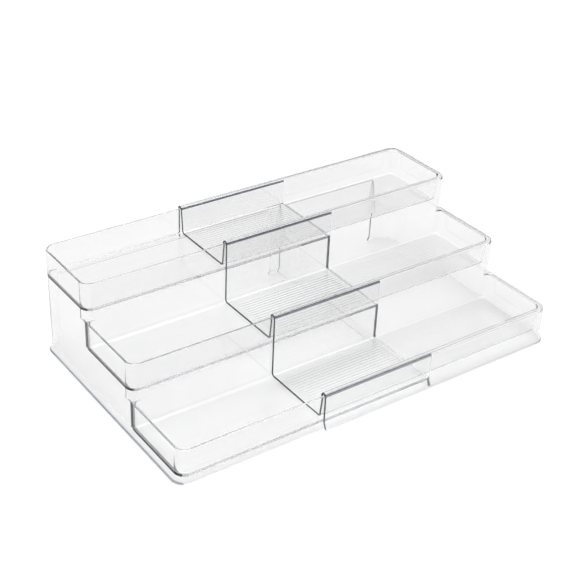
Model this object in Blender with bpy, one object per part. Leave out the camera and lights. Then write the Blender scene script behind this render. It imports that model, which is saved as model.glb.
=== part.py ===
"""Expandable three-tier shelf in clear moulded plastic.

Two stair-shaped sections nest and slide along X. The left section has single walls.
The right section is a larger shell: its hollow rims straddle the left section's walls,
and its floors lie just above the left section's floors.

Both sections are modelled with their closed end at X = 0 and their open end at X = length.
Y runs back from the front face of the left section's lowest tray, and Z is the height
above the surface that the shelf stands on. The right section is then turned end for end.
"""
import math
from dataclasses import dataclass

import bmesh
import bpy

# Tiers, counted from the lowest, in metres
TRAY_COUNT = 3
TRAY_PITCH = 0.0750
TOP_TRAY_REACH = 0.0778
TIER_RISE = 0.0350
RIM_HEIGHT = 0.0320
TRAY_DEPTH = 0.0247

# Lengths of the sections, and how far they overlap as shown
LEFT_LENGTH = 0.2510
RIGHT_LENGTH = 0.2548
OVERLAP = 0.1145

# Walls, and the running clearance between nested faces
LEFT_WALL = 0.0018
RIGHT_WALL = 0.0018
SLIDE_GAP = 0.00035
CREST_GAP = 0.0006

# Plan corners, folds, fillets and draft
CORNER_RADIUS = 0.0100
RISER_FILLET = 0.0040
JUNCTION_FILLET = 0.0010
FOLD_RADIUS = 0.0035
FLOOR_FILLET = 0.0015
LEFT_RIM_ROUND = 0.0005
RIGHT_RIM_ROUND = 0.0026
LEG_DRAFT = 0.0025

# Flared skirt round the foot
SKIRT_HEIGHT = 0.0065
SKIRT_FLARE = 0.0028

# Windows through the rear walls, under the top tray
WINDOW_TOP = 0.0713
WINDOW_RADIUS = 0.0030
LEFT_POST = 0.0128
RIGHT_POST = 0.0250

# Grip ribs along each tray floor
RIB_PITCH = 0.0034
RIB_WIDTH = 0.0026
RIB_CROWN = 0.0010
RIB_HEIGHT = 0.00012
RIB_SIDE_MARGIN = 0.0055
RIB_END_MARGIN = 0.0040

# How far a cutter passes the face that it opens, and how finely curves are divided
CUT_PAST = 0.0010
CORNER_STEPS = 8
FOLD_STEPS = 4
ROUND_STEPS = 3

# Points nearer than this are one point, and faces that meet flatter than this are one face
WELD = 0.00001
FLAT_ANGLE = 0.001

# The right section's skin lies outside the left section's by the gap and its own wall
SKIN = SLIDE_GAP + RIGHT_WALL
REAR_FACE = (TRAY_COUNT - 1) * TRAY_PITCH + TOP_TRAY_REACH
TOP_TIER = TRAY_COUNT - 1


@dataclass
class Section:
    """Sizes in which the two mouldings differ."""

    name: str
    length: float
    wall: float
    skin: float
    rim_lift: float
    rim_width: float
    floor_lift: float
    rim_round: float
    draft: float
    fold: float
    post: float

    def rim(self, tier):
        return RIM_HEIGHT + tier * TIER_RISE + self.rim_lift

    def floor(self, tier):
        return RIM_HEIGHT + tier * TIER_RISE - TRAY_DEPTH + self.floor_lift

    def front(self, tier):
        return tier * TRAY_PITCH - self.skin

    def rear(self):
        return REAR_FACE + self.skin

    def corner(self):
        return CORNER_RADIUS + self.skin


LEFT = Section(
    name="left_section",
    length=LEFT_LENGTH,
    wall=LEFT_WALL,
    skin=0.0,
    rim_lift=0.0,
    rim_width=LEFT_WALL,
    floor_lift=0.0,
    rim_round=LEFT_RIM_ROUND,
    draft=0.0,
    fold=FOLD_RADIUS,
    post=LEFT_POST,
)
RIGHT = Section(
    name="right_section",
    length=RIGHT_LENGTH,
    wall=RIGHT_WALL,
    skin=SKIN,
    rim_lift=CREST_GAP + RIGHT_WALL,
    rim_width=SKIN + LEFT_WALL + SKIN,
    floor_lift=RIB_HEIGHT + SLIDE_GAP + RIGHT_WALL,
    rim_round=RIGHT_RIM_ROUND,
    draft=LEG_DRAFT,
    fold=FOLD_RADIUS - RIGHT_WALL,
    post=RIGHT_POST,
)


def skirt_offset(height):
    """How far the skirt stands out of the wall above it."""
    return SKIRT_FLARE * max(0.0, 1.0 - height / SKIRT_HEIGHT)


def fillet_rises(radius, steps):
    """Rises above a floor at which a fillet of this radius gets a ring of points."""
    return [radius * (1.0 - math.cos(0.5 * math.pi * step / steps)) for step in range(steps + 1)]


def fillet_inset(rise, radius):
    """How far a fillet stands in from its wall, at a rise above its floor."""
    if rise >= radius:
        return 0.0
    return radius - math.sqrt(radius**2 - (radius - max(0.0, rise)) ** 2)


def arc(centre, radius, start):
    """Quarter circle, anticlockwise from a start angle in degrees."""
    angles = [math.radians(start + 90 * step / CORNER_STEPS) for step in range(CORNER_STEPS + 1)]
    return [(centre[0] + radius * math.cos(a), centre[1] + radius * math.sin(a)) for a in angles]


def plan(end, far, front, rear, front_radius, rear_radius):
    """Plan outline, rounded at the closed end and square at the far end."""
    outline = arc((end + front_radius, front + front_radius), front_radius, 180)
    outline += [(far, front), (far, rear)]
    outline += arc((end + rear_radius, rear - rear_radius), rear_radius, 90)
    return outline


def loft(name, rings):
    """Closed solid through rings of points, with its faces turned outwards."""
    mesh = bmesh.new()
    loops = [[mesh.verts.new(point) for point in ring] for ring in rings]
    for lower, upper in zip(loops, loops[1:]):
        for index in range(len(lower)):
            after = (index + 1) % len(lower)
            mesh.faces.new((lower[index], lower[after], upper[after], upper[index]))
    mesh.faces.new(loops[0])
    mesh.faces.new(loops[-1])
    bmesh.ops.recalc_face_normals(mesh, faces=mesh.faces)
    return link(name, mesh)


def link(name, mesh):
    """New object in the scene, holding what a bmesh holds."""
    data = bpy.data.meshes.new(name)
    mesh.to_mesh(data)
    mesh.free()
    solid = bpy.data.objects.new(name, data)
    bpy.context.scene.collection.objects.link(solid)
    return solid


def gather(name, solids):
    """One object from solids that stand clear of each other."""
    mesh = bmesh.new()
    for solid in solids:
        mesh.from_mesh(solid.data)
        bpy.data.objects.remove(solid)
    return link(name, mesh)


def combine(body, tool, operation):
    """Apply a Boolean of a tool to a body, and take the tool away."""
    modifier = body.modifiers.new(operation.lower(), "BOOLEAN")
    modifier.operation = operation
    modifier.solver = "EXACT"
    modifier.object = tool
    graph = bpy.context.evaluated_depsgraph_get()
    data = bpy.data.meshes.new_from_object(body.evaluated_get(graph))
    body.modifiers.remove(modifier)
    body.data = data
    bpy.data.objects.remove(tool)


def upright(name, section, tier, heights, far, grow, rounding=0.0, fold=0.0, front_corner=None):
    """Upright form of a tier, flared at the skirt, rounded at its top and folded at its foot.

    grow moves every face but the far end outwards from the section's outer face.
    Only the lowest tier reaches the foot, so only it is flared.
    """
    levels = set(heights)
    if tier == 0 and SKIRT_HEIGHT < heights[-1]:
        levels.add(SKIRT_HEIGHT)
    rings = []
    for height in sorted(levels):
        flare = skirt_offset(height) if tier == 0 else 0.0
        out = grow + flare - fillet_inset(heights[-1] - height, rounding)
        forward = fillet_inset(height - section.floor(tier - 1) + section.wall, fold)
        radius = section.corner() + out
        front_radius = radius if front_corner is None else front_corner
        outline = plan(-out, far, section.front(tier) - out - forward, section.rear() + out, front_radius, radius)
        rings.append([(x, y, height) for x, y in outline])
    return loft(name, rings)


def rounded_top(top, radius):
    """Heights at which a rounded top gets a ring of points."""
    return [top - rise for rise in reversed(fillet_rises(radius, ROUND_STEPS))]


def block(section, tier):
    """Outer form of one tier: the whole stack of them is the section's stair shape."""
    top = section.rim(tier)
    foot = 0.0 if tier == 0 else section.floor(tier - 1)
    heights = [foot] + rounded_top(top, section.rim_round)
    return upright("block", section, tier, heights, section.length, 0.0, rounding=section.rim_round)


def left_underside(tier):
    """Hollow under a left tray, closed by a panel at each end and curved behind the fold.

    Up to the rim in front of it the riser meets the end panels squarely, and above it the corner is round.
    """
    ceiling = LEFT.floor(tier) - LEFT.wall
    far = LEFT.length - LEFT.wall
    if tier == 0:
        return [upright("underside", LEFT, tier, [-CUT_PAST, ceiling], far, -LEFT.wall)]
    fold = LEFT.fold + LEFT.wall
    foot = LEFT.floor(tier - 1) - LEFT.wall
    roof = LEFT.rim(tier - 1) - LEFT.wall
    heights = [foot - CUT_PAST] + [foot + rise for rise in fillet_rises(fold, FOLD_STEPS)] + [roof]
    square = upright("underside", LEFT, tier, heights, far, -LEFT.wall, fold=fold, front_corner=JUNCTION_FILLET)
    upper = upright("underside", LEFT, tier, [roof - CUT_PAST, ceiling], far, -LEFT.wall)
    return [square, upper]


def right_channel(tier):
    """Space under the right section's skin, which takes the left section's walls."""
    rounding = RIGHT.rim_round - RIGHT.wall
    foot = -CUT_PAST if tier == 0 else RIGHT.rim(tier - 1) - RIGHT.wall - CUT_PAST
    heights = [foot] + rounded_top(RIGHT.rim(tier) - RIGHT.wall, rounding)
    return upright("channel", RIGHT, tier, heights, RIGHT.length + CUT_PAST, -RIGHT.wall, rounding=rounding)


def tray(section, tier, grow=0.0):
    """Hollow of a tray, open past the far end, or with grow the basin that wraps it."""
    floor = section.floor(tier)
    rim = section.rim(tier)
    against_riser = tier < TOP_TIER
    floor_fillet = FLOOR_FILLET + grow
    rear_fillet = section.fold + grow if against_riser else floor_fillet
    lip = 0.0 if grow else section.rim_round
    far = section.length if grow else section.length + CUT_PAST
    rises = set(fillet_rises(floor_fillet, ROUND_STEPS)) | set(fillet_rises(rear_fillet, FOLD_STEPS))
    rises = {rise - grow for rise in rises}
    if grow:
        rises.add(rim - floor - section.wall / 2)
    else:
        rises |= {rim - floor - rise for rise in fillet_rises(lip, ROUND_STEPS)}
        rises.add(rim - floor + CUT_PAST)
    rings = []
    for rise in sorted(rises):
        draft = section.draft * max(0.0, 1.0 - rise / (rim - floor))
        flare = fillet_inset(rim - floor - rise, lip) if not grow else 0.0
        side = section.rim_width - grow + draft - flare + fillet_inset(rise + grow, floor_fillet)
        front_radius = max(FLOOR_FILLET, section.corner() - side)
        if against_riser:
            rear = section.front(tier + 1) + grow - fillet_inset(rise + grow, rear_fillet)
            rear_radius = RISER_FILLET + grow
        else:
            rear = section.rear() - side
            rear_radius = front_radius
        outline = plan(side, far, section.front(tier) + side, rear, front_radius, rear_radius)
        rings.append([(x, y, floor + rise) for x, y in outline])
    return loft("tray", rings)


def window(section, far):
    """Opening through the rear wall from the foot up, with its top corners rounded."""
    reach = WINDOW_TOP - WINDOW_RADIUS
    outline = [(section.post, -CUT_PAST), (far, -CUT_PAST)]
    outline += arc((far - WINDOW_RADIUS, reach), WINDOW_RADIUS, 0)
    outline += arc((section.post + WINDOW_RADIUS, reach), WINDOW_RADIUS, 90)
    near = section.rear() - section.wall - CUT_PAST
    beyond = section.rear() + SKIRT_FLARE + CUT_PAST
    return loft("window", [[(x, y, z) for x, z in outline] for y in (near, beyond)])


def ribs(section, tier):
    """Grip ribs along one tray floor, each sunk into the floor that carries it."""
    floor = section.floor(tier)
    front = section.front(tier) + section.rim_width + section.draft + RIB_SIDE_MARGIN
    rear = section.front(tier + 1) - section.fold - RIB_SIDE_MARGIN
    if tier == TOP_TIER:
        rear = section.rear() - section.rim_width - section.draft - RIB_SIDE_MARGIN
    near = section.rim_width + section.draft + RIB_END_MARGIN
    far = section.length - RIB_END_MARGIN
    gaps = int((rear - front - RIB_WIDTH) / RIB_PITCH)
    first = (front + rear - gaps * RIB_PITCH) / 2
    solids = []
    for index in range(gaps + 1):
        middle = first + index * RIB_PITCH
        rings = []
        for height, width in ((-RIB_HEIGHT, RIB_WIDTH), (0.0, RIB_WIDTH), (RIB_HEIGHT, RIB_CROWN)):
            half = width / 2
            lean = (RIB_WIDTH - width) / 2
            corners = ((near + lean, -half), (far - lean, -half), (far - lean, half), (near + lean, half))
            rings.append([(x, middle + y, floor + height) for x, y in corners])
        solids.append(loft("rib", rings))
    return solids


def stair(section):
    """Solid stair shape of a section, to be hollowed out."""
    body = block(section, 0)
    for tier in range(1, TRAY_COUNT):
        combine(body, block(section, tier), "UNION")
    return body


def finish(body, section, window_far):
    """Open the trays and the rear window, add the ribs, and clean the mesh."""
    tiers = range(TRAY_COUNT)
    combine(body, gather("trays", [tray(section, tier) for tier in tiers]), "DIFFERENCE")
    combine(body, window(section, window_far), "DIFFERENCE")
    combine(body, gather("ribs", [rib for tier in tiers for rib in ribs(section, tier)]), "UNION")
    mesh = bmesh.new()
    mesh.from_mesh(body.data)
    bmesh.ops.dissolve_limit(mesh, angle_limit=FLAT_ANGLE, verts=mesh.verts, edges=mesh.edges)
    bmesh.ops.dissolve_degenerate(mesh, edges=mesh.edges, dist=WELD)
    mesh.to_mesh(body.data)
    mesh.free()
    body.name = section.name


def turn_end_for_end(body, section):
    """Mirror a section, so that its closed end is on the right."""
    mesh = bmesh.new()
    mesh.from_mesh(body.data)
    for vert in mesh.verts:
        vert.co.x = section.length - vert.co.x
    bmesh.ops.reverse_faces(mesh, faces=mesh.faces)
    mesh.to_mesh(body.data)
    mesh.free()


def left_section():
    """Inner moulding: single walls, a panel under the trays at each end."""
    body = stair(LEFT)
    for tier in range(TRAY_COUNT):
        for hollow in left_underside(tier):
            combine(body, hollow, "DIFFERENCE")
    finish(body, LEFT, LEFT.length - LEFT.post)
    return body


def right_section():
    """Outer moulding: hollow rims that ride over the left section's walls."""
    body = stair(RIGHT)
    for tier in range(TRAY_COUNT):
        combine(body, right_channel(tier), "DIFFERENCE")
    basins = [tray(RIGHT, tier, grow=RIGHT.wall) for tier in range(TRAY_COUNT)]
    combine(body, gather("basins", basins), "UNION")
    finish(body, RIGHT, RIGHT.length + WINDOW_RADIUS + CUT_PAST)
    turn_end_for_end(body, RIGHT)
    return body


def clear_plastic(name, tint):
    """Clear moulded plastic with a faint tint."""
    material = bpy.data.materials.new(name)
    material.use_nodes = True
    shader = material.node_tree.nodes["Principled BSDF"]
    shader.inputs["Base Color"].default_value = (*tint, 1.0)
    shader.inputs["Roughness"].default_value = 0.04
    shader.inputs["Metallic"].default_value = 0.0
    shader.inputs["IOR"].default_value = 1.53
    shader.inputs["Transmission Weight"].default_value = 1.0
    return material


def shade(body, material):
    body.data.materials.clear()
    body.data.materials.append(material)
    body.data.shade_smooth()
    body.data.set_sharp_from_angle(angle=math.radians(35))


def build():
    for old in list(bpy.data.objects):
        bpy.data.objects.remove(old)
    left = left_section()
    right = right_section()
    shade(left, clear_plastic("left_clear_plastic", (0.93, 0.95, 0.97)))
    shade(right, clear_plastic("right_clear_plastic", (0.92, 0.94, 0.97)))

    # The origin is the middle of the footprint, on the surface that the shelf stands on
    right_start = LEFT_LENGTH - OVERLAP
    footprint_left = -SKIRT_FLARE
    footprint_right = right_start + RIGHT_LENGTH + SKIRT_FLARE
    origin_x = (footprint_left + footprint_right) / 2
    origin_y = REAR_FACE / 2
    left.location = (-origin_x, -origin_y, 0.0)
    right.location = (right_start - origin_x, -origin_y, 0.0)


build()
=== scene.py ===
"""Looks of the expandable three-tier shelf: clear moulded plastic on a white table."""
import math
from dataclasses import dataclass

import bmesh
import bpy
from mathutils import Matrix, Vector


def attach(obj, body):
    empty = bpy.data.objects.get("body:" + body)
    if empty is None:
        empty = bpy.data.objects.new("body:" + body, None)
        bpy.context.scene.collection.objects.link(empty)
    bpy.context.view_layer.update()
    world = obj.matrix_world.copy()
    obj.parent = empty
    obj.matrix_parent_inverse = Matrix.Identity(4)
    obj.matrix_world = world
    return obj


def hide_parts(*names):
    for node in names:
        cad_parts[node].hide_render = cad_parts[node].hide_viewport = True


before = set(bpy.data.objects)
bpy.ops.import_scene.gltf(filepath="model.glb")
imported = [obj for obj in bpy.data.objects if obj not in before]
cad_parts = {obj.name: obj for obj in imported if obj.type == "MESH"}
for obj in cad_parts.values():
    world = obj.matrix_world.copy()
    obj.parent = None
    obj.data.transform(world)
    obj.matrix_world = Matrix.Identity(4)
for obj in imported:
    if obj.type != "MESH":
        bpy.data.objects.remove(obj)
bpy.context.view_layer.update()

# Tiers, counted from the lowest, in metres
TRAY_COUNT = 3
TRAY_PITCH = 0.0750
TOP_TRAY_REACH = 0.0778
TIER_RISE = 0.0350
RIM_HEIGHT = 0.0320
TRAY_DEPTH = 0.0247

# Lengths of the sections, and how far they overlap as shown
LEFT_LENGTH = 0.2510
RIGHT_LENGTH = 0.2548
OVERLAP = 0.1145

# Walls, and the running clearance between nested faces
LEFT_WALL = 0.0018
RIGHT_WALL = 0.0018
SLIDE_GAP = 0.00035
CREST_GAP = 0.0006

# Plan corners, folds, fillets and draft
CORNER_RADIUS = 0.0100
RISER_FILLET = 0.0040
JUNCTION_FILLET = 0.0010
FOLD_RADIUS = 0.0035
FLOOR_FILLET = 0.0015
LEFT_RIM_ROUND = 0.0005
RIGHT_RIM_ROUND = 0.0026
LEG_DRAFT = 0.0025

# Flared skirt round the foot
SKIRT_HEIGHT = 0.0065
SKIRT_FLARE = 0.0028

# Windows through the rear walls, under the top tray
WINDOW_TOP = 0.0713
WINDOW_RADIUS = 0.0030
LEFT_POST = 0.0128
RIGHT_POST = 0.0250

# Grip ribs along each tray floor: their height in the solids, and as each section and the top trays show them
RIB_PITCH = 0.0034
RIB_HEIGHT = 0.00012
LEFT_RIB_SHOWN = 0.00018
RIGHT_RIB_SHOWN = 0.00014
TOP_RIB_SHOWN = 0.00009
RIB_DEPTH = 0.0003
RIB_SINK = 0.00001
RIB_FADE = 0.0040
RIB_STEPS = 8
RIB_SIDE_MARGIN = 0.0055
RIB_END_MARGIN = 0.0040

# How far a cutter passes the face that it opens, and how finely curves are divided
CUT_PAST = 0.0010
CORNER_STEPS = 14
FOLD_STEPS = 6
ROUND_STEPS = 5

# Points nearer than this are one point, and faces that meet flatter than this are one face
WELD = 0.00001
FLAT_ANGLE = 0.001

# The right section's skin lies outside the left section's by the gap and its own wall
SKIN = SLIDE_GAP + RIGHT_WALL
REAR_FACE = (TRAY_COUNT - 1) * TRAY_PITCH + TOP_TRAY_REACH
TOP_TIER = TRAY_COUNT - 1
FLOOR_HEIGHT = RIM_HEIGHT - TRAY_DEPTH

# The frame's origin is the middle of the footprint
RIGHT_START = LEFT_LENGTH - OVERLAP
ORIGIN_X = (RIGHT_START + RIGHT_LENGTH) / 2
ORIGIN_Y = REAR_FACE / 2

# Camera, fitted to the straight edges of the shelf in the photograph
CAMERA_PLACE = Vector((-0.56872, -0.74471, 0.62460))
CAMERA_AZIMUTH = -36.667
CAMERA_ELEVATION = -31.323
CAMERA_ROLL = 2.639
FOCAL_PIXELS = 1230.9
FRAME_PIXELS = 580
SENSOR_MM = 36.0

# Clear plastic, the share of the lamp's light that passes it, and the degrees by which a soft corner turns
PLASTIC_IOR = 1.52
ABSORBED = (0.30, 0.32, 0.36, 1.0)
DENSITY = 7.0
LAMP_PASS = 0.97
SMOOTH_ANGLE = 35.0

# Soft waves from the mould, and the patches of fine scratches
WAVE_DETAIL = 1.0
WAVE_RISE = 0.001
SCRATCH_DETAIL = 3.0
SCRATCH_FROM = 0.62
SCRATCH_TO = 0.74

# Foot edge of a moulding, which is scuffed by sliding on the shelf, and darkened at the closed end by painted
# shade
FOOT_HEIGHT = 0.0010
FOOT_ROUGHNESS = 0.30
FOOT_PAINTED_SHADE = (0.22, 0.24, 0.28, 1.0)

# A point this far in front of a tier still belongs to it
TIER_MARGIN = 0.0010

# Trimmed ends, which are painted dark as shade, and how squarely a riser has to face the front or rear to
# show one
LEFT_END_DEPTH = 0.0020
RIGHT_END_DEPTH = 0.0003
WALL_FACING = 0.5
END_PAINTED_SHADE = (0.03, 0.035, 0.055, 1.0)

# Rims nested in the section above, which are found by how much lies close over them and painted dark as shade
NEST_DEPTH = 0.0014
COVER_REACH = 0.0013
COVER_SAMPLES = 4
COVER_OPEN = 0.6
NEST_PAINTED_SHADE = (0.005, 0.007, 0.018, 1.0)

# Seats of the floors and risers on the end wall, painted dark as shade
SEAT_BELOW = 0.0012
SEAT_ABOVE = 0.0010
SEAT_REACH = 0.0034
RISER_EDGE = 0.0030
SEAT_PAINTED_SHADE = (0.02, 0.022, 0.03, 1.0)

# A Mix node's sockets for colours, whose names its other sockets share
MIX_FACTOR = 0
MIX_FIRST = 6
MIX_SECOND = 7
MIX_RESULT = 2

# Light that runs inside the walls comes out again only after many turns
LIGHT_TURNS = 40

# White table, and its glow: to the eye near and far, seen through the plastic, and mirrored in it
TABLE_SIZE = 12.0
TABLE_DROP = 0.0003
TABLE_WHITE = 0.8
TABLE_ROUGHNESS = 0.9
TABLE_GLOW = 0.34
FAR_GLOW = 0.5
FAR_FROM = 0.4
FAR_TO = 1.8
GLOW_THROUGH = 0.22
GLOW_REFLECTED = 0.25

# Room: its light on the table, its shade in the plastic, and the pale panels that the plastic also shows
ROOM_LIGHT = 0.45
ROOM_SHADE = 0.34
SIDE_PANEL = (-0.829, 0.559, 0.0)
SIDE_FROM = -0.12
SIDE_TO = 0.10
SIDE_LEVEL = 0.42
OVERHEAD_PANEL = (0.0, 0.0, 1.0)
OVERHEAD_FROM = 0.60
OVERHEAD_TO = 0.78
OVERHEAD_LEVEL = 1.8
CORNER_PANEL = (0.72, 0.60, -0.35)
CORNER_FROM = 0.66
CORNER_TO = 0.80
CORNER_LEVEL = 0.62

# Lamp overhead, aimed at the origin
LAMP_PLACE = (0.1, 0.2, 1.6)
LAMP_SIZE = 1.2
LAMP_WATTS = 16.0

# A ray whose diffuse depth is under this has met no matt surface yet
UNSCATTERED = 0.5


def aim_camera():
    """Put the scene's camera where the photograph was taken from."""
    azimuth = math.radians(CAMERA_AZIMUTH)
    elevation = math.radians(CAMERA_ELEVATION)
    roll = math.radians(CAMERA_ROLL)
    flat = math.cos(elevation)
    ahead = Vector((-math.sin(azimuth) * flat, math.cos(azimuth) * flat, math.sin(elevation)))
    level = Vector((math.cos(azimuth), math.sin(azimuth), 0.0))
    upward = level.cross(ahead)
    right = level * math.cos(roll) + upward * math.sin(roll)
    up = upward * math.cos(roll) - level * math.sin(roll)
    turn = Matrix((right, up, -ahead)).transposed()
    data = bpy.data.cameras.new("camera")
    data.sensor_width = SENSOR_MM
    data.lens = FOCAL_PIXELS / FRAME_PIXELS * SENSOR_MM
    camera = bpy.data.objects.new("camera", data)
    camera.matrix_world = Matrix.Translation(CAMERA_PLACE) @ turn.to_4x4()
    bpy.context.scene.collection.objects.link(camera)
    bpy.context.scene.camera = camera


@dataclass
class Section:
    """Sizes in which the two mouldings differ."""

    name: str
    length: float
    wall: float
    skin: float
    rim_lift: float
    rim_width: float
    floor_lift: float
    rim_round: float
    draft: float
    fold: float
    post: float
    rib: float

    def rim(self, tier):
        return RIM_HEIGHT + tier * TIER_RISE + self.rim_lift

    def floor(self, tier):
        return RIM_HEIGHT + tier * TIER_RISE - TRAY_DEPTH + self.floor_lift

    def front(self, tier):
        return tier * TRAY_PITCH - self.skin

    def rear(self):
        return REAR_FACE + self.skin

    def corner(self):
        return CORNER_RADIUS + self.skin


LEFT = Section(
    name="left_section",
    length=LEFT_LENGTH,
    wall=LEFT_WALL,
    skin=0.0,
    rim_lift=0.0,
    rim_width=LEFT_WALL,
    floor_lift=0.0,
    rim_round=LEFT_RIM_ROUND,
    draft=0.0,
    fold=FOLD_RADIUS,
    post=LEFT_POST,
    rib=LEFT_RIB_SHOWN,
)
RIGHT = Section(
    name="right_section",
    length=RIGHT_LENGTH,
    wall=RIGHT_WALL,
    skin=SKIN,
    rim_lift=CREST_GAP + RIGHT_WALL,
    rim_width=SKIN + LEFT_WALL + SKIN,
    floor_lift=RIB_HEIGHT + SLIDE_GAP + RIGHT_WALL,
    rim_round=RIGHT_RIM_ROUND,
    draft=LEG_DRAFT,
    fold=FOLD_RADIUS - RIGHT_WALL,
    post=RIGHT_POST,
    rib=RIGHT_RIB_SHOWN,
)


def skirt_offset(height):
    """How far the skirt stands out of the wall above it."""
    return SKIRT_FLARE * max(0.0, 1.0 - height / SKIRT_HEIGHT)


def fillet_rises(radius, steps):
    """Rises above a floor at which a fillet of this radius gets a ring of points."""
    return [radius * (1.0 - math.cos(0.5 * math.pi * step / steps)) for step in range(steps + 1)]


def fillet_inset(rise, radius):
    """How far a fillet stands in from its wall, at a rise above its floor."""
    if rise >= radius:
        return 0.0
    return radius - math.sqrt(radius**2 - (radius - max(0.0, rise)) ** 2)


def arc(centre, radius, start):
    """Quarter circle, anticlockwise from a start angle in degrees."""
    angles = [math.radians(start + 90 * step / CORNER_STEPS) for step in range(CORNER_STEPS + 1)]
    return [(centre[0] + radius * math.cos(a), centre[1] + radius * math.sin(a)) for a in angles]


def plan(end, far, front, rear, front_radius, rear_radius):
    """Plan outline, rounded at the closed end and square at the far end."""
    outline = arc((end + front_radius, front + front_radius), front_radius, 180)
    outline += [(far, front), (far, rear)]
    outline += arc((end + rear_radius, rear - rear_radius), rear_radius, 90)
    return outline


def loft(name, rings):
    """Closed solid through rings of points, with its faces turned outwards."""
    mesh = bmesh.new()
    loops = [[mesh.verts.new(point) for point in ring] for ring in rings]
    for lower, upper in zip(loops, loops[1:]):
        for index in range(len(lower)):
            after = (index + 1) % len(lower)
            mesh.faces.new((lower[index], lower[after], upper[after], upper[index]))
    mesh.faces.new(loops[0])
    mesh.faces.new(loops[-1])
    bmesh.ops.recalc_face_normals(mesh, faces=mesh.faces)
    return new_object(name, mesh)


def new_object(name, mesh):
    """New object in the scene, holding what a bmesh holds."""
    data = bpy.data.meshes.new(name)
    mesh.to_mesh(data)
    mesh.free()
    solid = bpy.data.objects.new(name, data)
    bpy.context.scene.collection.objects.link(solid)
    return solid


def gather(name, solids):
    """One object from solids that stand clear of each other."""
    mesh = bmesh.new()
    for solid in solids:
        mesh.from_mesh(solid.data)
        bpy.data.objects.remove(solid)
    return new_object(name, mesh)


def combine(body, tool, operation):
    """Apply a Boolean of a tool to a body, and take the tool away."""
    modifier = body.modifiers.new(operation.lower(), "BOOLEAN")
    modifier.operation = operation
    modifier.solver = "EXACT"
    modifier.object = tool
    graph = bpy.context.evaluated_depsgraph_get()
    data = bpy.data.meshes.new_from_object(body.evaluated_get(graph))
    body.modifiers.remove(modifier)
    body.data = data
    bpy.data.objects.remove(tool)


def upright(name, section, tier, heights, far, grow, rounding=0.0, fold=0.0, front_corner=None):
    """Upright form of a tier, flared at the skirt, rounded at its top and folded at its foot.

    grow moves every face but the far end outwards from the section's outer face.
    Only the lowest tier reaches the foot, so only it is flared.
    """
    levels = set(heights)
    if tier == 0 and SKIRT_HEIGHT < heights[-1]:
        levels.add(SKIRT_HEIGHT)
    rings = []
    for height in sorted(levels):
        flare = skirt_offset(height) if tier == 0 else 0.0
        out = grow + flare - fillet_inset(heights[-1] - height, rounding)
        forward = fillet_inset(height - section.floor(tier - 1) + section.wall, fold)
        front = section.front(tier) - out - forward
        rear = section.rear() + out
        radius = section.corner() + out
        front_radius = radius if front_corner is None else front_corner
        outline = plan(-out, far, front, rear, front_radius, radius)
        rings.append([(x, y, height) for x, y in outline])
    return loft(name, rings)


def rounded_top(top, radius):
    """Heights at which a rounded top gets a ring of points."""
    return [top - rise for rise in reversed(fillet_rises(radius, ROUND_STEPS))]


def block(section, tier):
    """Outer form of one tier: the whole stack of them is the section's stair shape."""
    top = section.rim(tier)
    foot = 0.0 if tier == 0 else section.floor(tier - 1)
    heights = [foot] + rounded_top(top, section.rim_round)
    return upright("block", section, tier, heights, section.length, 0.0, rounding=section.rim_round)


def left_underside(tier):
    """Hollow under a left tray, closed by a panel at each end and curved behind the fold.

    Up to the rim in front of it the riser meets the end panel squarely, and above it the corner is round.
    """
    ceiling = LEFT.floor(tier) - LEFT.wall
    far = LEFT.length - LEFT.wall
    if tier == 0:
        return [upright("underside", LEFT, tier, [-CUT_PAST, ceiling], far, -LEFT.wall)]
    fold = LEFT.fold + LEFT.wall
    foot = LEFT.floor(tier - 1) - LEFT.wall
    roof = LEFT.rim(tier - 1) - LEFT.wall
    heights = [foot - CUT_PAST] + [foot + rise for rise in fillet_rises(fold, FOLD_STEPS)] + [roof]
    corner = JUNCTION_FILLET
    square = upright("underside", LEFT, tier, heights, far, -LEFT.wall, fold=fold, front_corner=corner)
    upper = upright("underside", LEFT, tier, [roof - CUT_PAST, ceiling], far, -LEFT.wall)
    return [square, upper]


def right_channel(tier):
    """Space under the right section's skin, which takes the left section's walls."""
    rounding = RIGHT.rim_round - RIGHT.wall
    foot = -CUT_PAST if tier == 0 else RIGHT.rim(tier - 1) - RIGHT.wall - CUT_PAST
    heights = [foot] + rounded_top(RIGHT.rim(tier) - RIGHT.wall, rounding)
    far = RIGHT.length + CUT_PAST
    return upright("channel", RIGHT, tier, heights, far, -RIGHT.wall, rounding=rounding)


def tray(section, tier, grow=0.0):
    """Hollow of a tray, open past the far end, or with grow the basin that wraps it."""
    floor = section.floor(tier)
    rim = section.rim(tier)
    against_riser = tier < TOP_TIER
    floor_fillet = FLOOR_FILLET + grow
    rear_fillet = section.fold + grow if against_riser else floor_fillet
    lip = 0.0 if grow else section.rim_round
    far = section.length if grow else section.length + CUT_PAST
    rises = set(fillet_rises(floor_fillet, ROUND_STEPS)) | set(fillet_rises(rear_fillet, FOLD_STEPS))
    rises = {rise - grow for rise in rises}
    if grow:
        rises.add(rim - floor - section.wall / 2)
    else:
        rises |= {rim - floor - rise for rise in fillet_rises(lip, ROUND_STEPS)}
        rises.add(rim - floor + CUT_PAST)
    rings = []
    for rise in sorted(rises):
        draft = section.draft * max(0.0, 1.0 - rise / (rim - floor))
        flare = fillet_inset(rim - floor - rise, lip) if not grow else 0.0
        side = section.rim_width - grow + draft - flare + fillet_inset(rise + grow, floor_fillet)
        front_radius = max(FLOOR_FILLET, section.corner() - side)
        if against_riser:
            rear = section.front(tier + 1) + grow - fillet_inset(rise + grow, rear_fillet)
            rear_radius = RISER_FILLET + grow
        else:
            rear = section.rear() - side
            rear_radius = front_radius
        outline = plan(side, far, section.front(tier) + side, rear, front_radius, rear_radius)
        rings.append([(x, y, floor + rise) for x, y in outline])
    return loft("tray", rings)


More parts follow.
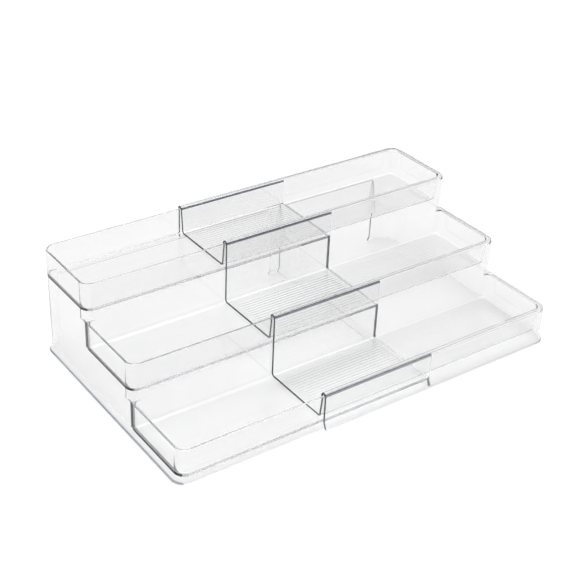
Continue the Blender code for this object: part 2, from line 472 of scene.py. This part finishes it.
def window(section, far):
    """Opening through the rear wall from the foot up, with its top corners rounded."""
    reach = WINDOW_TOP - WINDOW_RADIUS
    outline = [(section.post, -CUT_PAST), (far, -CUT_PAST)]
    outline += arc((far - WINDOW_RADIUS, reach), WINDOW_RADIUS, 0)
    outline += arc((section.post + WINDOW_RADIUS, reach), WINDOW_RADIUS, 90)
    near = section.rear() - section.wall - CUT_PAST
    beyond = section.rear() + SKIRT_FLARE + CUT_PAST
    return loft("window", [[(x, y, z) for x, z in outline] for y in (near, beyond)])


def ribs(section, tier):
    """Grip ribs along one tray floor: soft ripples that fade out at both ends."""
    floor = section.floor(tier)
    front = section.front(tier) + section.rim_width + section.draft + RIB_SIDE_MARGIN
    rear = section.front(tier + 1) - section.fold - RIB_SIDE_MARGIN
    if tier == TOP_TIER:
        rear = section.rear() - section.rim_width - section.draft - RIB_SIDE_MARGIN
    near = section.rim_width + section.draft + RIB_END_MARGIN
    far = section.length - RIB_END_MARGIN
    count = int((rear - front) / RIB_PITCH)
    first = (front + rear - count * RIB_PITCH) / 2
    turns = [step / RIB_STEPS for step in range(count * RIB_STEPS + 1)]
    crown = TOP_RIB_SHOWN if tier == TOP_TIER else section.rib
    rings = []
    for x, height in ((near, 0.0), (near + RIB_FADE, crown), (far - RIB_FADE, crown), (far, 0.0)):
        ring = [(x, first + turns[0] * RIB_PITCH, floor - RIB_DEPTH)]
        for turn in turns:
            rise = height * (1.0 - math.cos(2.0 * math.pi * turn)) / 2 - RIB_SINK
            ring.append((x, first + turn * RIB_PITCH, floor + rise))
        ring.append((x, first + turns[-1] * RIB_PITCH, floor - RIB_DEPTH))
        rings.append(ring)
    return loft("ribs", rings)


def stair(section):
    """Solid stair shape of a section, to be hollowed out."""
    body = block(section, 0)
    for tier in range(1, TRAY_COUNT):
        combine(body, block(section, tier), "UNION")
    return body


def finish(body, section, window_far):
    """Open the trays and the rear window, add the ribs, and clean the mesh."""
    tiers = range(TRAY_COUNT)
    combine(body, gather("trays", [tray(section, tier) for tier in tiers]), "DIFFERENCE")
    combine(body, window(section, window_far), "DIFFERENCE")
    combine(body, gather("ribs", [ribs(section, tier) for tier in tiers]), "UNION")
    mesh = bmesh.new()
    mesh.from_mesh(body.data)
    bmesh.ops.dissolve_limit(mesh, angle_limit=FLAT_ANGLE, verts=mesh.verts, edges=mesh.edges)
    bmesh.ops.dissolve_degenerate(mesh, edges=mesh.edges, dist=WELD)
    mesh.to_mesh(body.data)
    mesh.free()
    body.name = section.name


def turn_end_for_end(body, section):
    """Mirror a section, so that its closed end is on the right."""
    mesh = bmesh.new()
    mesh.from_mesh(body.data)
    for vert in mesh.verts:
        vert.co.x = section.length - vert.co.x
    bmesh.ops.reverse_faces(mesh, faces=mesh.faces)
    mesh.to_mesh(body.data)
    mesh.free()


def left_section():
    """Inner moulding: single walls, a panel under the trays at each end."""
    body = stair(LEFT)
    for tier in range(TRAY_COUNT):
        for hollow in left_underside(tier):
            combine(body, hollow, "DIFFERENCE")
    finish(body, LEFT, LEFT.length - LEFT.post)
    return body


def right_section():
    """Outer moulding: hollow rims that ride over the left section's walls."""
    body = stair(RIGHT)
    for tier in range(TRAY_COUNT):
        combine(body, right_channel(tier), "DIFFERENCE")
    basins = [tray(RIGHT, tier, grow=RIGHT.wall) for tier in range(TRAY_COUNT)]
    combine(body, gather("basins", basins), "UNION")
    finish(body, RIGHT, RIGHT.length + WINDOW_RADIUS + CUT_PAST)
    turn_end_for_end(body, RIGHT)
    return body


def feed(tree, value, node, socket):
    """Give an input its value: a number, a colour, or what a (node, output) pair puts out."""
    if isinstance(value, tuple) and len(value) == 2:
        source, output = value
        tree.links.new(source.outputs[output], node.inputs[socket])
    else:
        node.inputs[socket].default_value = value


def maths(tree, operation, first, second=0.0):
    """Output of a Math node."""
    node = tree.nodes.new("ShaderNodeMath")
    node.operation = operation
    feed(tree, first, node, 0)
    feed(tree, second, node, 1)
    return node, "Value"


def mix_values(tree, factor, first, second):
    """Output of a Mix node between two numbers."""
    node = tree.nodes.new("ShaderNodeMix")
    feed(tree, factor, node, "Factor")
    feed(tree, first, node, "A")
    feed(tree, second, node, "B")
    return node, "Result"


def mix_colours(tree, mask, first, second):
    """Output of a Mix node between two colours."""
    node = tree.nodes.new("ShaderNodeMix")
    node.data_type = "RGBA"
    feed(tree, mask, node, MIX_FACTOR)
    feed(tree, first, node, MIX_FIRST)
    feed(tree, second, node, MIX_SECOND)
    return node, MIX_RESULT


def smooth_range(tree, value, start, end, low, high):
    """Output of a Map Range node that goes smoothly from low to high as the value goes from start to end."""
    node = tree.nodes.new("ShaderNodeMapRange")
    node.interpolation_type = "SMOOTHSTEP"
    feed(tree, value, node, "Value")
    feed(tree, start, node, "From Min")
    feed(tree, end, node, "From Max")
    feed(tree, low, node, "To Min")
    feed(tree, high, node, "To Max")
    return node, "Result"


def noise(tree, place, scale, detail):
    """Output of a Noise node in the object's own coordinates."""
    node = tree.nodes.new("ShaderNodeTexNoise")
    feed(tree, place, node, "Vector")
    feed(tree, scale, node, "Scale")
    feed(tree, detail, node, "Detail")
    return node, "Fac"


def split_vector(tree, vector):
    """Node whose outputs X, Y and Z are the parts of a vector."""
    node = tree.nodes.new("ShaderNodeSeparateXYZ")
    feed(tree, vector, node, "Vector")
    return node


def within(tree, value, low, high):
    """Mask of where a value lies between two numbers."""
    off_middle = maths(tree, "SUBTRACT", value, (low + high) / 2)
    apart = maths(tree, "ABSOLUTE", off_middle)
    return maths(tree, "LESS_THAN", apart, (high - low) / 2)


def place_on_tier(tree, place):
    """Height of a point as if its tier were the lowest, and how far it lies behind that tier's front."""
    behind = maths(tree, "ADD", (place, "Y"), ORIGIN_Y + TIER_MARGIN)
    whole = maths(tree, "FLOOR", maths(tree, "DIVIDE", behind, TRAY_PITCH))
    below_top = maths(tree, "MINIMUM", whole, TOP_TIER)
    tier = maths(tree, "MAXIMUM", below_top, 0.0)
    height = maths(tree, "SUBTRACT", (place, "Z"), maths(tree, "MULTIPLY", tier, TIER_RISE))
    inwards = maths(tree, "SUBTRACT", behind, maths(tree, "MULTIPLY", tier, TRAY_PITCH))
    return height, inwards


def end_shade_mask(tree, given, place, height):
    """Trimmed end, painted dark as shade: the cut face of the outer section, and the risers' edge of the
    inner one.
    """
    outward = maths(tree, "MULTIPLY", (place, "X"), (given, "End Side"))
    near_end = maths(tree, "GREATER_THAN", outward, (given, "End Reach"))
    surface = tree.nodes.new("ShaderNodeNewGeometry")
    facing = split_vector(tree, (surface, "Normal"))
    across = maths(tree, "ABSOLUTE", (facing, "Y"))
    wall = maths(tree, "GREATER_THAN", across, WALL_FACING)
    under = maths(tree, "LESS_THAN", height, FLOOR_HEIGHT)
    riser = maths(tree, "MULTIPLY", wall, under)
    shown = maths(tree, "MAXIMUM", riser, (given, "End Face"))
    return maths(tree, "MULTIPLY", near_end, shown)


def seat_shade_mask(tree, height, inwards):
    """Seat of each floor, and of each riser beside the tray below it, where the plastic is thickest and shade
    is painted.
    """
    floor = within(tree, height, FLOOR_HEIGHT - SEAT_BELOW, FLOOR_HEIGHT + SEAT_ABOVE)
    at_riser = maths(tree, "LESS_THAN", inwards, RISER_EDGE)
    beside_tray = within(tree, height, FLOOR_HEIGHT - TIER_RISE, RIM_HEIGHT - TIER_RISE)
    riser = maths(tree, "MULTIPLY", at_riser, beside_tray)
    return maths(tree, "MAXIMUM", floor, riser)


def new_group(name, inputs, outputs):
    """An empty shader node group with named inputs and outputs, each a (name, type, default) row."""
    tree = bpy.data.node_groups.new(name, "ShaderNodeTree")
    for in_out, rows in (("INPUT", inputs), ("OUTPUT", outputs)):
        for label, kind, default in rows:
            socket = tree.interface.new_socket(label, in_out=in_out, socket_type=kind)
            if default is not None:
                socket.default_value = default
    return tree, tree.nodes.new("NodeGroupInput"), tree.nodes.new("NodeGroupOutput")


def moulded_surface_and_painted_shade():
    """Surface of clear moulded plastic: soft waves, fine scratches, a scuffed foot, and painted shade on the
    foot, the seats, the covered rims and the trimmed ends.
    """
    tree, given, made = new_group(
        "moulded_surface_and_painted_shade",
        [
            ("Clear Tint", "NodeSocketColor", (0.99, 0.99, 0.99, 1.0)),
            ("End Side", "NodeSocketFloat", 1.0),
            ("End Reach", "NodeSocketFloat", 0.05),
            ("End Face", "NodeSocketFloat", 0.0),
            ("Inner Section", "NodeSocketFloat", 1.0),
            ("Covered", "NodeSocketFloat", 0.0),
            ("Wave Scale", "NodeSocketFloat", 14.0),
            ("Wave Strength", "NodeSocketFloat", 0.02),
            ("Scratch Scale", "NodeSocketFloat", 260.0),
            ("Scratch Roughness", "NodeSocketFloat", 0.05),
        ],
        [
            ("Tint", "NodeSocketColor", None),
            ("Roughness", "NodeSocketFloat", None),
            ("Height", "NodeSocketFloat", None),
        ],
    )
    coordinates = tree.nodes.new("ShaderNodeTexCoord")
    point = (coordinates, "Object")
    place = split_vector(tree, point)
    height, inwards = place_on_tier(tree, place)

    # Foot all round, and what only the inner section's closed end shows: painted shade on the foot and on the
    # seats
    foot = maths(tree, "LESS_THAN", (place, "Z"), FOOT_HEIGHT)
    at_left = maths(tree, "LESS_THAN", (place, "X"), SEAT_REACH - ORIGIN_X)
    closed_end = maths(tree, "MULTIPLY", at_left, (given, "Inner Section"))
    painted_foot_shade = maths(tree, "MULTIPLY", foot, closed_end)
    painted_seat_shade = maths(tree, "MULTIPLY", seat_shade_mask(tree, height, inwards), closed_end)

    # Painted shade on the rims of the inner section where the outer one covers them, and on the trimmed ends
    # of both
    crest = maths(tree, "GREATER_THAN", height, RIM_HEIGHT - NEST_DEPTH)
    painted_nest_shade = maths(tree, "MULTIPLY", crest, (given, "Covered"))
    end = end_shade_mask(tree, given, place, height)

    # The clear tint, darkened by painted shade at the foot, the seats, the covered rims and the trimmed ends
    tint_and_painted_shade = (given, "Clear Tint")
    for mask, colour in ((painted_foot_shade, FOOT_PAINTED_SHADE), (painted_seat_shade, SEAT_PAINTED_SHADE), (painted_nest_shade, NEST_PAINTED_SHADE), (end, END_PAINTED_SHADE)):
        tint_and_painted_shade = mix_colours(tree, mask, tint_and_painted_shade, colour)
    feed(tree, tint_and_painted_shade, made, "Tint")

    waves = noise(tree, point, (given, "Wave Scale"), WAVE_DETAIL)
    feed(tree, maths(tree, "MULTIPLY", waves, (given, "Wave Strength")), made, "Height")

    scratches = noise(tree, point, (given, "Scratch Scale"), SCRATCH_DETAIL)
    worn = smooth_range(tree, scratches, SCRATCH_FROM, SCRATCH_TO, 0.0, (given, "Scratch Roughness"))
    scuffed = maths(tree, "MULTIPLY", foot, FOOT_ROUGHNESS)
    feed(tree, maths(tree, "MAXIMUM", worn, scuffed), made, "Roughness")
    return tree


def clear_plastic(name, surface, values, paints_nest_shade):
    """Clear plastic whose surface and painted shade come from the shared group, with this moulding's own
    values.

    Where nests is true, rims that another section covers are found by what is close above them and given
    painted shade.
    """
    material = bpy.data.materials.new(name)
    material.use_nodes = True
    tree = material.node_tree
    detail = tree.nodes.new("ShaderNodeGroup")
    detail.node_tree = surface
    for label, value in values.items():
        feed(tree, value, detail, label)
    if paints_nest_shade:
        cover = tree.nodes.new("ShaderNodeAmbientOcclusion")
        cover.samples = COVER_SAMPLES
        feed(tree, COVER_REACH, cover, "Distance")
        feed(tree, maths(tree, "LESS_THAN", (cover, "AO"), COVER_OPEN), detail, "Covered")
    bump = tree.nodes.new("ShaderNodeBump")
    feed(tree, 1.0, bump, "Strength")
    feed(tree, WAVE_RISE, bump, "Distance")
    feed(tree, (detail, "Height"), bump, "Height")

    shader = tree.nodes["Principled BSDF"]
    feed(tree, PLASTIC_IOR, shader, "IOR")
    feed(tree, 1.0, shader, "Transmission Weight")
    feed(tree, (detail, "Tint"), shader, "Base Color")
    feed(tree, (detail, "Roughness"), shader, "Roughness")
    feed(tree, (bump, "Normal"), shader, "Normal")

    # The lamp's light passes as through a plain clear sheet, so that the table shows no hard shadow
    clear = tree.nodes.new("ShaderNodeBsdfTransparent")
    feed(tree, (LAMP_PASS, LAMP_PASS, LAMP_PASS, 1.0), clear, "Color")
    path = tree.nodes.new("ShaderNodeLightPath")
    mix = tree.nodes.new("ShaderNodeMixShader")
    feed(tree, (path, "Is Shadow Ray"), mix, 0)
    feed(tree, (shader, "BSDF"), mix, 1)
    feed(tree, (clear, "BSDF"), mix, 2)

    absorb = tree.nodes.new("ShaderNodeVolumeAbsorption")
    feed(tree, ABSORBED, absorb, "Color")
    feed(tree, DENSITY, absorb, "Density")
    output = tree.nodes["Material Output"]
    feed(tree, (mix, "Shader"), output, "Surface")
    feed(tree, (absorb, "Volume"), output, "Volume")
    return material


def table_white():
    """Matt white, with a glow that differs between the eye, the view through the plastic and its mirror."""
    material = bpy.data.materials.new("table_white")
    material.use_nodes = True
    tree = material.node_tree
    coordinates = tree.nodes.new("ShaderNodeTexCoord")
    distance = tree.nodes.new("ShaderNodeVectorMath")
    distance.operation = "LENGTH"
    feed(tree, (coordinates, "Object"), distance, 0)
    bright = TABLE_GLOW + FAR_GLOW
    white = smooth_range(tree, (distance, "Value"), FAR_FROM, FAR_TO, TABLE_GLOW, bright)

    path = tree.nodes.new("ShaderNodeLightPath")
    through = maths(tree, "MULTIPLY", (path, "Is Transmission Ray"), GLOW_THROUGH)
    bounced = maths(tree, "SUBTRACT", (path, "Is Glossy Ray"), (path, "Is Transmission Ray"))
    mirrored = maths(tree, "MULTIPLY", bounced, GLOW_REFLECTED)
    eye = maths(tree, "MULTIPLY", (path, "Is Camera Ray"), white)
    seen = maths(tree, "MAXIMUM", maths(tree, "MAXIMUM", through, mirrored), eye)
    straight = maths(tree, "LESS_THAN", (path, "Diffuse Depth"), UNSCATTERED)

    shader = tree.nodes["Principled BSDF"]
    feed(tree, (TABLE_WHITE, TABLE_WHITE, TABLE_WHITE, 1.0), shader, "Base Color")
    feed(tree, TABLE_ROUGHNESS, shader, "Roughness")
    feed(tree, 0.0, shader, "Specular IOR Level")
    feed(tree, (1.0, 1.0, 1.0, 1.0), shader, "Emission Color")
    feed(tree, maths(tree, "MULTIPLY", seen, straight), shader, "Emission Strength")
    return material


def table():
    """Table just under the foot, wide enough for every view."""
    bpy.ops.mesh.primitive_plane_add(size=TABLE_SIZE, location=(0.0, 0.0, -TABLE_DROP))
    floor = bpy.context.object
    floor.name = "table"
    floor.data.materials.append(table_white())


def soft_panel(tree, place, panel, start, full, level):
    """A wide pale surface of the room, with a soft border, on the side that panel points to."""
    toward = tree.nodes.new("ShaderNodeVectorMath")
    toward.operation = "DOT_PRODUCT"
    feed(tree, (place, "Generated"), toward, 0)
    feed(tree, panel, toward, 1)
    return smooth_range(tree, (toward, "Value"), start, full, 0.0, level)


def room():
    """A white room: plain white to the eye, and in the plastic a shaded room with pale panels.

    The panels stand on the left, low in the right corner at the rear, and overhead.
    """
    world = bpy.data.worlds.new("studio")
    bpy.context.scene.world = world
    world.use_nodes = True
    tree = world.node_tree
    place = tree.nodes.new("ShaderNodeTexCoord")
    side = soft_panel(tree, place, SIDE_PANEL, SIDE_FROM, SIDE_TO, SIDE_LEVEL)
    overhead = soft_panel(tree, place, OVERHEAD_PANEL, OVERHEAD_FROM, OVERHEAD_TO, OVERHEAD_LEVEL)
    corner = soft_panel(tree, place, CORNER_PANEL, CORNER_FROM, CORNER_TO, CORNER_LEVEL)
    panels = maths(tree, "MAXIMUM", maths(tree, "MAXIMUM", side, corner), overhead)
    shown = maths(tree, "ADD", panels, ROOM_SHADE)

    path = tree.nodes.new("ShaderNodeLightPath")
    bent = maths(tree, "MAXIMUM", (path, "Is Glossy Ray"), (path, "Is Transmission Ray"))
    straight = maths(tree, "LESS_THAN", (path, "Diffuse Depth"), UNSCATTERED)
    in_plastic = maths(tree, "MULTIPLY", bent, straight)

    # The lamp's light already reaches the table through the plastic, so the room's light doesn't do so again
    scattered = maths(tree, "SUBTRACT", 1.0, straight)
    twice = maths(tree, "MULTIPLY", scattered, (path, "Is Transmission Ray"))
    lit = maths(tree, "MULTIPLY", maths(tree, "SUBTRACT", 1.0, twice), ROOM_LIGHT)

    inside = mix_values(tree, in_plastic, lit, shown)
    background = tree.nodes["Background"]
    feed(tree, (1.0, 1.0, 1.0, 1.0), background, "Color")
    feed(tree, mix_values(tree, (path, "Is Camera Ray"), inside, 1.0), background, "Strength")


def softbox():
    """A wide soft lamp, which the plastic doesn't show."""
    data = bpy.data.lights.new("top_softbox", "AREA")
    data.shape = "SQUARE"
    data.size = LAMP_SIZE
    data.energy = LAMP_WATTS
    light = bpy.data.objects.new("top_softbox", data)
    light.location = LAMP_PLACE
    light.rotation_euler = (-Vector(LAMP_PLACE)).to_track_quat("-Z", "Y").to_euler()
    light.visible_transmission = False
    bpy.context.scene.collection.objects.link(light)


def dress(body, start, node, material):
    """Put a moulding in place of its CAD node, with the shading of its large faces kept flat."""
    body.name = node.replace("section", "moulding")
    body.data.transform(Matrix.Translation((start - ORIGIN_X, -ORIGIN_Y, 0.0)))
    body.data.materials.clear()
    body.data.materials.append(material)
    body.data.shade_smooth()
    body.data.set_sharp_from_angle(angle=math.radians(SMOOTH_ANGLE))
    normals = body.modifiers.new("flat_faces_first", "WEIGHTED_NORMAL")
    normals.keep_sharp = True
    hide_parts(node)
    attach(body, node)


aim_camera()
table()
room()
softbox()

surface = moulded_surface_and_painted_shade()
left_values = {
    "Wave Scale": 13.0,
    "End Side": 1.0,
    "End Reach": LEFT_LENGTH - ORIGIN_X - LEFT_END_DEPTH,
    "End Face": 0.0,
    "Inner Section": 1.0,
}
right_values = {
    "Wave Scale": 17.0,
    "End Side": -1.0,
    "End Reach": ORIGIN_X - RIGHT_START - RIGHT_END_DEPTH,
    "End Face": 1.0,
    "Inner Section": 0.0,
}
# Each moulding's material paints shade at its foot, seats, covered rims and trimmed ends
left_plastic_and_painted_shade = clear_plastic("left_clear_plastic_and_painted_shade", surface, left_values, paints_nest_shade=True)
right_plastic_and_painted_shade = clear_plastic("right_clear_plastic_and_painted_shade", surface, right_values, paints_nest_shade=False)
dress(left_section(), 0.0, "left_section", left_plastic_and_painted_shade)
dress(right_section(), RIGHT_START, "right_section", right_plastic_and_painted_shade)

cycles = bpy.context.scene.cycles
cycles.max_bounces = LIGHT_TURNS
cycles.glossy_bounces = LIGHT_TURNS
cycles.transmission_bounces = LIGHT_TURNS

bpy.context.scene.view_settings.view_transform = "Standard"
